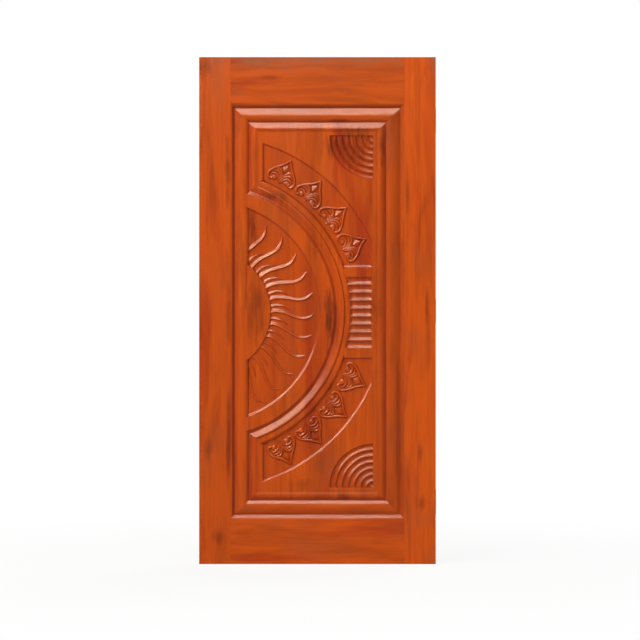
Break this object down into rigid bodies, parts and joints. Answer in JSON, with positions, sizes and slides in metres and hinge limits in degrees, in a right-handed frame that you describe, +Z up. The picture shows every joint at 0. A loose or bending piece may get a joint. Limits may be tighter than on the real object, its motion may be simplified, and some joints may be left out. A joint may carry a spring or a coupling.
{
  "type": "carved door leaf",
  "caption": "Framed wooden door leaf with a solid panel carved with a half sun, leaves and flutes, mitred mouldings and butt hinges on its back edge.",
  "frame": {"origin": "middle of the leaf's bottom edge, at half its thickness", "axes": "+Z up the leaf, +X to the right as seen from the carved front, +Y through the leaf towards its back"},
  "size_m": [0.9815, 0.0535, 2.1],
  "materials": {
    "frame_wood": "clear lacquer, semi-gloss",
    "panel_wood": "clear lacquer, semi-gloss",
    "moulding_wood": "clear lacquer, semi-gloss",
    "peg_wood": "clear lacquer, semi-gloss",
    "hinge_metal": "aged satin",
    "pin_metal": "aged satin",
    "screw_metal": "aged satin"
  },
  "bodies": {
    "frame_side": {"hinge_bottom_frame_plate": "hinge_metal", "hinge_middle_frame_plate": "hinge_metal", "hinge_top_frame_plate": "hinge_metal", "hinge_bottom_pin": "pin_metal", "hinge_middle_pin": "pin_metal", "hinge_top_pin": "pin_metal"},
    "leaf": {"left_stile": "frame_wood", "right_stile": "frame_wood", "top_rail": "frame_wood", "bottom_rail": "frame_wood", "carved_panel": "panel_wood", "front_moulding_top": "moulding_wood", "front_moulding_bottom": "moulding_wood", "front_moulding_left": "moulding_wood", "front_moulding_right": "moulding_wood", "back_moulding_top": "moulding_wood", "back_moulding_bottom": "moulding_wood", "back_moulding_left": "moulding_wood", "back_moulding_right": "moulding_wood", "tenon_pegs": "peg_wood", "hinge_bottom_leaf_plate": "hinge_metal", "hinge_middle_leaf_plate": "hinge_metal", "hinge_top_leaf_plate": "hinge_metal", "hinge_screws": "screw_metal"}
  },
  "joints": [
    {"name": "leaf_swing", "type": "hinge", "parent": "frame_side", "child": "leaf", "pos_m": [0.485, 0.027, 0], "axis": [0, 0, -1], "range_deg": [0, 170]}
  ]
}
